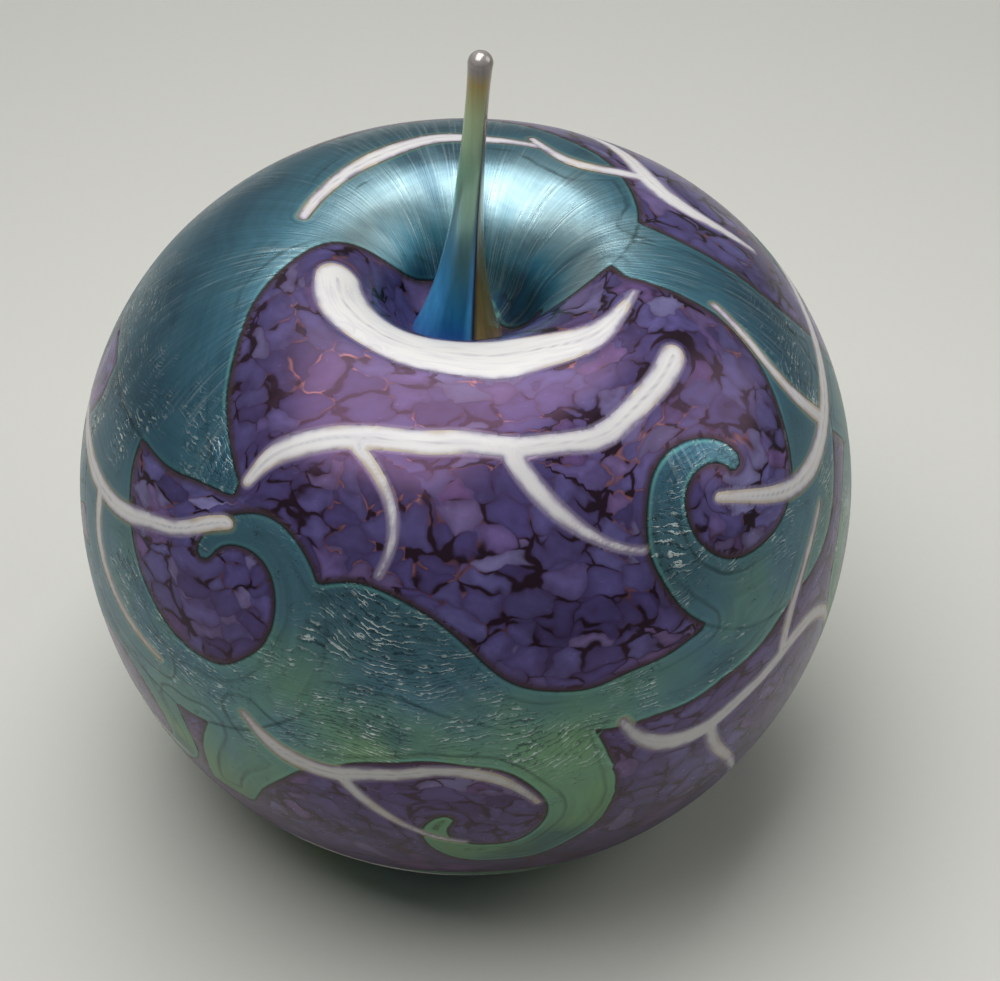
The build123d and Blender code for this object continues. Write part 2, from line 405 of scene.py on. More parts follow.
@dataclass
class Skin:
    """A grid over the glass surface, cut along the edges of the pieces that share it, in millimetres."""

    VECTORS: ClassVar[tuple[str, ...]] = ("point", "normal", "unrolled", "chip_place")
    SEAM: ClassVar[str] = "white_seam"

    form: BodyForm
    layout: Layout
    columns: int = 330
    rows: int = 162
    well_hole_share: float = 0.001
    wobble_mm: float = 0.22
    wobble_length_mm: float = 11.0
    wobble_waves: int = 6
    wobble_seed: int = 7
    squeeze_mm: float = 2.2
    squeeze_length_mm: float = 2.4
    refine_mm: float = 0.8
    seam_turn: float = -0.2
    faces: dict[int, list[Face]] = field(default_factory=dict, init=False)
    crossings: dict[Face, tuple[int, np.ndarray]] = field(default_factory=dict, init=False)
    # At each point: its place, the way out, its place on the unrolled body and among the chips, its
    # distances, its piece, the way from the nearest white edge, and whether it is at an end of the
    # outline or on an edge
    point: np.ndarray = field(init=False)
    normal: np.ndarray = field(init=False)
    unrolled: np.ndarray = field(init=False)
    chip_place: np.ndarray = field(init=False)
    scalars: dict[str, np.ndarray] = field(default_factory=dict, init=False)
    piece: np.ndarray = field(init=False)
    from_white: np.ndarray = field(init=False)
    at_end: np.ndarray = field(init=False)
    on_edge: np.ndarray = field(init=False)
    # In each cell: whether white glass is near
    near_white: np.ndarray = field(init=False)

    def lay_out(self, coarse: "Skin | None" = None) -> "Skin":
        """Samples the surface, finds the pieces and cuts the grid along their edges.

        Args:
            coarse: a coarser skin. With it, only the cells round white glass are made, which it leaves out.

        Returns:
            The skin itself.
        """
        rows, columns = np.meshgrid(np.arange(self.rows - 1), np.arange(self.columns), indexing="ij")
        rows, columns = rows.ravel(), columns.ravel()
        if coarse is not None:
            factor = self.columns // coarse.columns
            chosen = coarse.near_white[rows // factor, columns // factor]
            rows, columns = rows[chosen], columns[chosen]
        after = (columns + 1) % self.columns
        sides = ((rows, columns), (rows, after), (rows + 1, after), (rows + 1, columns))
        cells = np.stack([np.stack(side, axis=1) for side in sides], axis=1)
        places, corners = np.unique(cells.reshape(-1, 2), axis=0, return_inverse=True)
        corners = corners.reshape(-1, 4)
        self.sample(places)
        self.scalars[self.SEAM] = np.full(len(places), self.squeeze_mm)
        if coarse is None:
            near = self.is_white() | (self.scalars[Edge.WHITE.value] < self.refine_mm)
            near = near[corners].any(axis=1)
            self.near_white = near.reshape(self.rows - 1, self.columns)
            corners = corners[~near]
        else:
            self.find_seams(corners)
        self.cut(corners)
        return self

    def is_white(self) -> np.ndarray:
        """Tells which grid points lie on white glass."""
        return np.array([kind is Glass.WHITE for kind in self.layout.kinds])[self.piece]

    def sample(self, places: np.ndarray) -> None:
        """Works out the position, the piece and the fields at each grid point.

        Args:
            places: rows and columns of the grid points.
        """
        outline = self.form.outline()
        run = np.concatenate([[0], np.cumsum(np.linalg.norm(np.diff(outline, axis=0), axis=1))])
        along = np.linspace(0, run[-1] * (1 - self.well_hole_share), self.rows)
        radius = np.interp(along, run, outline[:, 0])
        height = np.interp(along, run, outline[:, 1])
        lean = np.stack([np.gradient(height, along), -np.gradient(radius, along)], axis=1)
        lean /= np.linalg.norm(lean, axis=1)[:, None]
        row, turn = places[:, 0], places[:, 1] * 2 * math.pi / self.columns
        round_x, round_y = np.sin(turn), -np.cos(turn)
        self.point = np.stack([radius[row] * round_x, radius[row] * round_y, height[row]], axis=1)
        self.normal = np.stack([lean[row, 0] * round_x, lean[row, 0] * round_y, lean[row, 1]], axis=1)
        half = self.form.diameter / 2
        self.unrolled = np.stack([half * round_x, half * round_y, along[row]], axis=1)
        self.at_end = (row == 0) | (row == self.rows - 1)
        looked = self.point + self.drift()
        self.piece = self.layout.pieces_at(looked, self.normal)
        # The chips were squeezed together beside whatever was pressed in
        pull = np.zeros_like(self.point)
        for kind in Edge:
            gap, nearest = self.layout.gaps(kind, looked)
            self.scalars[kind.value] = gap
            away = (looked - nearest) / np.maximum(gap, TINY_MM)[:, None]
            if kind is not Edge.JOIN:
                pull -= away * (self.squeeze_mm * np.exp(-gap / self.squeeze_length_mm))[:, None]
            if kind is Edge.WHITE:
                self.from_white = away
        self.chip_place = looked + pull

    def find_seams(self, corners: np.ndarray) -> None:
        """Measures how far each point of white glass is from the middle of its thread.

        Args:
            corners: the four grid points of each cell.
        """
        white = self.is_white()
        sides = np.vstack([corners[:, [0, 1]], corners[:, [1, 2]]])
        sides = sides[white[sides].all(axis=1)]
        # The middle lies where the ways from the nearest edge turn against each other
        turn = np.sum(self.from_white[sides[:, 0]] * self.from_white[sides[:, 1]], axis=1)
        sides = sides[turn < self.seam_turn]
        one, other = self.point[sides[:, 0]], self.point[sides[:, 1]]
        gap = self.scalars[Edge.WHITE.value]
        lead = (gap[sides[:, 1]] - gap[sides[:, 0]]) / np.linalg.norm(other - one, axis=1)
        share = np.clip(0.5 + lead / 2, 0, 1)[:, None]
        tree = Layout.forest(one + (other - one) * share)
        self.scalars[self.SEAM][white] = [tree.find(point)[2] for point in self.point[white]]

    def drift(self) -> np.ndarray:
        """A smooth sideways wobble, which makes the edges look drawn by hand.

        Returns:
            A small step along the surface at each grid point.
        """
        waves = smooth_waves(self.point, self.wobble_seed, self.wobble_waves, self.wobble_length_mm, 3)
        step = waves * (self.wobble_mm / math.sqrt(3))
        return step - self.normal * np.sum(step * self.normal, axis=1)[:, None]

    def cut(self, corners: np.ndarray) -> None:
        """Shares the cells out among the pieces, cutting those that an edge crosses.

        Args:
            corners: the four grid points of each cell.
        """
        owner = self.piece[corners]
        whole = (owner == owner[:, :1]).all(axis=1)
        for index in np.unique(owner[whole]):
            self.faces[index] = [tuple(c) for c in corners[whole & (owner[:, 0] == index)].tolist()]
        for a, b, c, d in corners[~whole].tolist():
            self.cut_triangle((a, b, c))
            self.cut_triangle((a, c, d))
        added = [(list(key), share) for key, (_, share) in self.crossings.items()]
        for name in self.VECTORS:
            value = getattr(self, name)
            more = [share @ value[key] for key, share in added]
            setattr(self, name, np.vstack([value, more]) if more else value)
        for name, value in self.scalars.items():
            more = [
                0.0 if name == self.edge_between(key).value else share @ value[key] for key, share in added
            ]
            self.scalars[name] = np.concatenate([value, more])
        self.on_edge = np.concatenate([self.at_end, np.ones(len(added), bool)])

    def edge_between(self, mixed: Sequence[int]) -> Edge:
        """Names the edge that runs between grid points of different pieces.

        Args:
            mixed: the grid points.

        Returns:
            The kind of edge.
        """
        kinds = {self.layout.kinds[self.piece[place]] for place in mixed}
        if Glass.WHITE in kinds:
            return Edge.WHITE
        return Edge.LUSTRE if Glass.CASING in kinds else Edge.JOIN

    def crossing(self, *mixed: int) -> int:
        """Makes the point where an edge crosses a side, or where three pieces meet in a triangle.

        Args:
            mixed: the grid points that it lies between.

        Returns:
            The point's index.
        """
        key = tuple(sorted(mixed))
        if key not in self.crossings:
            gap = self.scalars[self.edge_between(key).value][list(key)]
            share = 1 / np.maximum(gap, TINY_MM)
            self.crossings[key] = (len(self.piece) + len(self.crossings), share / share.sum())
        return self.crossings[key][0]

    def cut_triangle(self, triangle: Face) -> None:
        """Gives each piece its share of one triangle.

        Args:
            triangle: three grid points.
        """
        owners = [int(self.piece[v]) for v in triangle]
        if len(set(owners)) == 1:
            self.faces.setdefault(owners[0], []).append(triangle)
            return
        for turn in range(3):
            a, b, c = triangle[turn:] + triangle[:turn]
            if len(set(owners)) == 3:
                part = (a, self.crossing(a, b), self.crossing(a, b, c), self.crossing(a, c))
            elif self.piece[b] == self.piece[c]:
                part = (a, self.crossing(a, b), self.crossing(a, c))
                rest = (self.crossing(a, b), b, c, self.crossing(a, c))
                self.faces.setdefault(int(self.piece[b]), []).append(rest)
            else:
                continue
            self.faces.setdefault(int(self.piece[a]), []).append(part)


@dataclass(frozen=True)
class Relief:
    """How the worked surface leaves the turned form, in millimetres."""

    seam_mm: float = 0.02
    ripple_mm: float = 0.05
    ripple_length_mm: float = 13.0
    ripple_waves: int = 5
    ripple_seed: int = 21

    def raised(self, point: np.ndarray, on_edge: np.ndarray) -> np.ndarray:
        """Height of the worked glass over the turned form.

        Args:
            point: places on the surface.
            on_edge: which of them lie on an edge between pieces.

        Returns:
            A height at each place, never above the turned form.
        """
        ripple = smooth_waves(point, self.ripple_seed, self.ripple_waves, self.ripple_length_mm, 1)[:, 0]
        low = -self.ripple_mm * (1 + ripple / self.ripple_waves) / 2
        return low - self.seam_mm * on_edge


@dataclass
class LaidPiece:
    """One piece of glass that shows on the surface, as a closed mesh."""

    name: str
    slot: str
    depth_mm: float
    skins: Sequence[Skin]
    index: int
    relief: Relief = Relief()
    sharp_angle: float = 50.0

    @staticmethod
    def rim(faces: Sequence[Face]) -> list[tuple[int, int]]:
        """Lists the sides of the faces that no other face shares."""
        sides = dict.fromkeys(side for f in faces for side in zip(f, f[1:] + f[:1]))
        return [(a, b) for a, b in sides if (b, a) not in sides]

    def stitch(
        self, coarse: Sequence[Face], fine: Sequence[Face], point: np.ndarray, on_edge: np.ndarray
    ) -> list[Face]:
        """Joins the coarse cells to the fine ones, so that no gap is left where they meet.

        Args:
            coarse: faces of the coarse grid.
            fine: faces of the fine grid.
            point: places of the corners of both.
            on_edge: which of the corners lie on an edge between pieces.

        Returns:
            The faces of both grids, with the corners that they share.
        """
        spot = [tuple(place) for place in np.round(point, 3).tolist()]
        shared = {spot[v]: v for f in fine for v in f}
        coarse = [tuple(shared.get(spot[v], v) for v in f) for f in coarse]
        in_fine = set(shared.values())
        after: dict[int, list[int]] = {}
        before: dict[int, list[int]] = {}
        for a, b in self.rim(fine):
            after.setdefault(a, []).append(b)
            before.setdefault(b, []).append(a)
        # A coarse side takes up the fine point half-way along it, and a crossing moves to the fine one
        middle: dict[tuple[int, int], int] = {}
        moved: dict[int, int] = {}
        for a, b in self.rim(coarse):
            if a in in_fine and b in in_fine:
                halves = [v for v in after.get(b, []) if a in after.get(v, [])]
                if halves:
                    middle[a, b] = halves[0]
            elif a in in_fine or b in in_fine:
                grid, crossing, ways = (a, b, before) if a in in_fine else (b, a, after)
                ends = [(v, None) for v in ways.get(grid, []) if on_edge[v]]
                for half in ways.get(grid, []):
                    if not on_edge[half]:
                        ends += [(v, half) for v in ways.get(half, []) if on_edge[v]]
                if ends:
                    far = [np.linalg.norm(point[v] - point[crossing]) for v, _ in ends]
                    moved[crossing], half = ends[int(np.argmin(far))]
                    if half is not None:
                        middle[a, b] = half
        joined = []
        for f in coarse:
            corners = []
            for a, b in zip(f, f[1:] + f[:1]):
                corners.append(moved.get(a, a))
                if (a, b) in middle:
                    corners.append(middle[a, b])
            joined.append(tuple(corners))
        return joined + list(fine)

    def gather(self) -> tuple[list[Face], dict[str, np.ndarray]]:
        """Collects the piece's faces from both grids.

        Returns:
            The faces on the surface, and the fields at their corners.
        """
        parts: list[list[Face]] = []
        fields: dict[str, list[np.ndarray]] = {}
        count = 0
        for skin in self.skins:
            parts.append([tuple(v + count for v in f) for f in skin.faces.get(self.index, [])])
            vectors = {name: getattr(skin, name) for name in (*skin.VECTORS, "on_edge")}
            for label, values in (vectors | skin.scalars).items():
                fields.setdefault(label, []).append(values)
            count += len(skin.point)
        whole = {label: np.concatenate(values) for label, values in fields.items()}
        top = self.stitch(*parts, whole["point"], whole["on_edge"])
        used, place = np.unique(np.fromiter((v for f in top for v in f), int), return_inverse=True)
        corner = iter(place.tolist())
        top = [tuple(next(corner) for _ in f) for f in top]
        return top, {label: values[used] for label, values in whole.items()}

    def build(self, material: bpy.types.Material) -> bpy.types.Object:
        """Makes the piece: its worked top, the same faces turned over underneath, and walls round its rim.

        Args:
            material: the piece's finish.

        Returns:
            The new object.
        """
        top, fields = self.gather()
        point, normal, on_edge = (fields.pop(name) for name in ("point", "normal", "on_edge"))
        count = len(point)
        under = [tuple(v + count for v in reversed(f)) for f in top]
        walls = [(b, a, a + count, b + count) for a, b in self.rim(top) if on_edge[a] and on_edge[b]]
        height = self.relief.raised(point, on_edge)
        corners = np.vstack([point + normal * height[:, None], point - normal * self.depth_mm])
        fields = {label: np.concatenate([values, values]) for label, values in fields.items()}
        faces = top + under + walls
        return new_piece(self.name, corners, faces, fields, material, self.sharp_angle)


@dataclass
class Stem:
    """The drawn stem: a bar of rounded triangular section with a flared foot and a bead, in millimetres."""

    BEAD_RISE: ClassVar[float] = 0.1  # the bead's share of the rise, past the bar's one

    foot_height: float = 53.0
    tip_height: float = 90.7
    foot_radius: float = 5.5
    neck_radius: float = 1.0
    swell: float = 0.25
    swell_power: int = 12
    flare: float = 3.2
    foot_x: float = -0.8
    tip_x: float = 1.4
    lobes: tuple[float, float, float] = (0.09, 0.11, 0.035)
    lobe_power: int = 3
    ridge_angle: float = 25.0
    fold_angles: Span = (8.0, 42.0)
    bead: float = 2.5
    bead_cap: float = 0.12
    bar_rings: int = 150
    bead_rings: int = 18
    sides: int = 72

    def bar_radius(self, along: float) -> float:
        """Mean radius of the bar at a share of its length."""
        flare = (self.foot_radius - self.neck_radius) * math.exp(-self.flare * along) * (1 - along)
        return self.neck_radius + flare + self.swell * along**self.swell_power

    def sections(self, turn: np.ndarray) -> list[tuple[float, float, np.ndarray]]:
        """Lays out the bar's sections and then the bead's.

        Args:
            turn: the angle of each corner of a section.

        Returns:
            How far up the stem each section is, its height, and its radius at each corner.
        """
        ball = self.bead / 2
        middle = self.tip_height - ball
        start = math.asin(min(self.bar_radius(1.0) / ball, 1.0))
        top = middle - ball * math.cos(start)
        ridge = turn - math.radians(self.ridge_angle)
        even, three, six = self.lobes
        lobed = even + three * np.cos(3 * ridge) + six * np.cos(6 * ridge)
        made = []
        for along in np.linspace(0, 1, self.bar_rings):
            shape = 1 + lobed * (1 - along**self.lobe_power)
            height = self.foot_height + (top - self.foot_height) * along
            made.append((along, height, self.bar_radius(along) * shape))
        for polar in np.linspace(math.pi - start, self.bead_cap, self.bead_rings)[1:]:
            rise = 1.0 + self.BEAD_RISE * (math.pi - polar) / math.pi
            height = middle + ball * math.cos(polar)
            made.append((rise, height, np.full(self.sides, ball * math.sin(polar))))
        return made

    def build(self, material: bpy.types.Material) -> bpy.types.Object:
        """Lofts the stem and its bead as one closed mesh.

        Args:
            material: the stem's finish.

        Returns:
            The new object.
        """
        turn = np.linspace(0, 2 * math.pi, self.sides, endpoint=False)
        points, rise, flank = [], [], []
        for along, height, radius in self.sections(turn):
            middle = self.foot_x + (self.tip_x - self.foot_x) * min(along, 1.0)
            level = np.full(self.sides, height)
            points.append(np.stack([middle + radius * np.sin(turn), -radius * np.cos(turn), level], axis=1))
            rise.append(np.full(self.sides, along))
            fold = np.interp(along, [0, 1], self.fold_angles)
            flank.append(np.sin(turn - math.radians(fold)))
        count = len(points)
        faces = []
        for row in range(count - 1):
            for side in range(self.sides):
                after = (side + 1) % self.sides
                a, b = row * self.sides + side, row * self.sides + after
                faces.append((a, b, b + self.sides, a + self.sides))
        faces.append(tuple(reversed(range(self.sides))))
        faces.append(tuple(range((count - 1) * self.sides, count * self.sides)))
        fields = {"rise": np.concatenate(rise), "flank": np.concatenate(flank)}
        return new_piece("stem", np.vstack(points), faces, fields, material)


@dataclass(frozen=True)
class Finish:
    """A finish that is drawn with shader nodes. Sizes are in millimetres."""

    label: ClassVar[str]

    def shade(self, put: Put) -> Socket:
        """Draws the finish, in the way that each kind has of its own.

        Args:
            put: adds a node to the material.

        Returns:
            The shader.
        """
        raise NotImplementedError

    def material(self) -> bpy.types.Material:
        """Builds the node material.

        Returns:
            The material, named for what it is and how it was made.
        """
        made = bpy.data.materials.new(self.label)
        made.use_nodes = True
        made.node_tree.nodes.clear()
        put = partial(add_node, made.node_tree)
        put("OutputMaterial", {"Surface": self.shade(put)})
        return made

    @staticmethod
    def lay_over(put: Put, colour: Socket, layers: Sequence[tuple[Socket, str]]) -> Socket:
        """Lays colours over one another.

        Args:
            put: adds a node to the material.
            colour: the colour underneath.
            layers: how much of each colour shows and its hex value, from the lowest up.

        Returns:
            The colour on top.
        """
        for share, hue in layers:
            colour = put("Mix", {0: share, 6: colour, 7: linear(hue)}, **COLOURS)
        return colour


@dataclass(frozen=True)
class FritCasing(Finish):
    """Violet frit: chips of coloured glass picked up hot on a dark gather and melted flat.

    The eye sees rounded chips of uneven violet with black stars of glass between them, under a satin gloss
    that the fuming tints pink and that lights up like copper in some of the gaps.
    """

    label: ClassVar[str] = "violet frit glass, fumed and fire polished"
    chip_mm: float = 3.3
    deep_chip_mm: float = 5.5
    chip_squash: tuple[float, float, float] = (0.82, 0.82, 1.2)
    bend_mm: float = 2.941
    bend_reach_mm: float = 3.4
    cloud_mm: float = 1.25
    gap_mm: float = 0.12
    gap_cloud_mm: float = 3.333
    star_mm: float = 0.42
    fume_mm: float = 9.091
    # Spans of the way up the body from the foot
    foot: Span = (24.0, 56.0)
    copper: Span = (65.0, 76.0)
    # Where painted shade darkens the chips, over the shoulder and down the well
    well: Span = (66.0, 88.0)
    violets: Stops = (
        (0.0, "#3b3662"),
        (0.25, "#464170"),
        (0.5, "#4d4979"),
        (0.7, "#565486"),
        (0.84, "#5c4674"),
        (0.93, "#6a6992"),
        (1.0, "#685280"),
    )

    def rolled(self, put: Put, place: Socket) -> Socket:
        """Bends the chips and draws them out round the body, as rolling did.

        Args:
            put: adds a node to the material.
            place: the place among the chips.

        Returns:
            The place on chips that were never rolled.
        """
        bend = {"Vector": place, "Scale": 1 / self.bend_mm, "Detail": 1.6, "Roughness": 0.4}
        bend = put("TexNoise", bend, out="Color")
        shift = put("VectorMath", {0: bend, 1: (0.5, 0.5, 0.5)}, operation="SUBTRACT")
        shift = put("VectorMath", {0: shift, 3: self.bend_reach_mm}, operation="SCALE")
        bent = put("VectorMath", {0: place, 1: shift}, operation="ADD")
        return put("VectorMath", {0: bent, 1: self.chip_squash}, operation="MULTIPLY")

    def chip_colour(
        self, put: Put, chips: Mapping[str, object], rim: Socket, height: Socket, cloud: Socket
    ) -> Socket:
        """Colours the chips.

        Args:
            put: adds a node to the material.
            chips: the inputs that the chips' nodes share.
            rim: distance to the chip's rim.
            height: the way up the body.
            cloud: a fine unevenness of the glass.

        Returns:
            The chips' colour, each of its own violet and darker towards its rim, with painted shade over
            the shoulder and down the well.
        """
        chip = put("TexVoronoi", {**chips, "Smoothness": 0.1}, out="Color", feature="SMOOTH_F1")
        hue = put("SeparateColor", {0: chip}, out="Red")
        shade = put("SeparateColor", {0: chip}, out="Green")
        violet = put("ValToRGB", {0: hue}, stops=self.violets)
        # A second layer of chips shows through the first as soft lighter and darker patches
        deep = {"Vector": chips["Vector"], "Scale": 1 / self.deep_chip_mm, "Smoothness": 0.4}
        beneath = put("TexVoronoi", deep, out="Color", feature="SMOOTH_F1")
        beneath = put("SeparateColor", {0: beneath}, out="Blue")
        tone = put("MapRange", {0: cloud, 1: 0.3, 2: 0.7, 3: 0.88, 4: 1.12})
        for factor in (
            put("MapRange", {0: shade, 3: 0.86, 4: 1.14}),
            put("MapRange", {0: beneath, 1: 0.2, 2: 0.8, 3: 0.82, 4: 1.18}),
            put("MapRange", {0: rim, 1: 0.0, 2: 1.1, 3: 0.8, 4: 1.03}, **SOFT_ENDS),
            # Painted shade: the chips darken over the shoulder and down the well
            put("MapRange", {0: height, 1: self.well[0], 2: self.well[1], 3: 1.0, 4: 0.72}, **SOFT_ENDS),
        ):
            tone = put("Math", {0: tone, 1: factor}, operation="MULTIPLY")
        return put("VectorMath", {0: violet, 3: tone}, operation="SCALE")

    def gap_width(self, put: Put, place: Socket, chips: Mapping[str, object]) -> Socket:
        """Works out the dark glass between the chips: closed along some sides, a star where chips meet.

        Args:
            put: adds a node to the material.
            place: the place among the chips.
            chips: the inputs that the chips' nodes share.

        Returns:
            Half the gap's width, below nothing where it is closed.
        """
        width = put("TexNoise", {"Vector": place, "Scale": 1 / self.gap_cloud_mm, "Detail": 1.0})
        width = put("MapRange", {0: width, 1: 0.38, 2: 0.66, 3: -0.42, 4: self.gap_mm})
        middle = put("TexVoronoi", chips, out="Distance")
        star = put("MapRange", {0: middle, 1: 0.6, 2: 1.05, 3: 0.0, 4: self.star_mm})
        return put("Math", {0: width, 1: star}, operation="ADD")

    def shade(self, put: Put) -> Socket:
        """Draws the chips, the gaps between them, the foot and the edges, in that order.

        Args:
            put: adds a node to the material.

        Returns:
            The shader.
        """
        place = put("Attribute", attribute_name="chip_place", out="Vector")
        height = put("Attribute", attribute_name="unrolled", out="Vector")
        height = put("SeparateXYZ", {0: height}, out="Z")
        cloud = put("TexNoise", {"Vector": place, "Scale": 1 / self.cloud_mm, "Detail": 4.0})
        chips = {"Vector": self.rolled(put, place), "Scale": 1 / self.chip_mm, "Randomness": 0.95}
        rim = put("TexVoronoi", chips, out="Distance", feature="DISTANCE_TO_EDGE")
        rim = put("Math", {0: rim, 1: self.chip_mm}, operation="MULTIPLY")
        body = self.chip_colour(put, chips, rim, height, cloud)
        width = self.gap_width(put, place, chips)
        halo = put("Math", {0: width, 1: 0.8}, operation="ADD")
        halo = put("MapRange", {0: rim, 1: width, 2: halo, 3: 0.4, 4: 0.0}, **SOFT_ENDS)
        body = self.lay_over(put, body, [(halo, "#2a1730")])
        soft = put("Math", {0: width, 1: 0.32}, operation="ADD")
        open_gap = put("MapRange", {0: rim, 1: width, 2: soft, 3: 1.0, 4: 0.0}, **SOFT_ENDS)
        # The fumes that came down on the shoulder left copper in some of the gaps there
        fume = put("TexNoise", {"Vector": place, "Scale": 1 / self.fume_mm, "Detail": 1.0})
        film = put("MapRange", {0: fume, 1: 0.48, 2: 0.58, 3: 0.0, 4: 0.85})
        for limit in (
            put("MapRange", {0: height, 1: self.copper[0], 2: self.copper[1]}, **SOFT_ENDS),
            put("MapRange", {0: width, 1: -0.14, 2: 0.02, 3: 1.0, 4: 0.0}),
        ):
            film = put("Math", {0: film, 1: limit}, operation="MULTIPLY")
        dark = put("Mix", {0: film, 6: linear("#050306"), 7: linear("#b07468")}, **COLOURS)
        # The glass is plum towards the foot, with brown gaps, and the plum also darkens the lower body as
        # painted shade
        low = put("MapRange", {0: height, 1: self.foot[0], 2: self.foot[1], 3: 0.85, 4: 0.0}, **SOFT_ENDS)
        plum_and_shade = put("Mix", {0: 1.0, 6: body, 7: linear("#b26c86")}, blend_type="MULTIPLY", **COLOURS)
        body = put("Mix", {0: low, 6: body, 7: plum_and_shade}, **COLOURS)
        dark = self.lay_over(put, dark, [(low, "#2c1517")])
        colour = put("Mix", {0: open_gap, 6: body, 7: dark}, **COLOURS)
        # Olive-brown shade where a lustre trail was pressed in, and a grey veil beside a white thread
        line = put("Attribute", attribute_name=Edge.LUSTRE.value, out="Fac")
        line = put("MapRange", {0: line, 1: 0.05, 2: 0.85, 3: 0.9, 4: 0.0}, **SOFT_ENDS)
        veil = put("Attribute", attribute_name=Edge.WHITE.value, out="Fac")
        veil = put("MapRange", {0: veil, 1: 0.0, 2: 0.45, 3: 0.7, 4: 0.0}, **SOFT_ENDS)
        colour = self.lay_over(put, colour, [(line, "#2e2622"), (veil, "#827b90")])
        metal = put("Math", {0: open_gap, 1: film}, operation="MULTIPLY")
        # The lower body was rubbed on the marver, which left it satin
        rough = put("MapRange", {0: cloud, 1: 0.3, 2: 0.7, 3: 0.2, 4: 0.28})
        satin = put("MapRange", {0: low, 3: 0.0, 4: 0.5})
        rough = put("Math", {0: rough, 1: satin}, operation="MAXIMUM")
        bump = put("Bump", {"Height": open_gap, "Strength": 0.12, "Distance": -0.05 * MM})
        gloss = {"Base Color": colour, "Roughness": rough, "Metallic": metal, "Normal": bump, "IOR": 1.52}
        gloss |= {"Specular IOR Level": 0.4, "Specular Tint": linear("#ffc2f4")}
        return put("BsdfPrincipled", gloss)


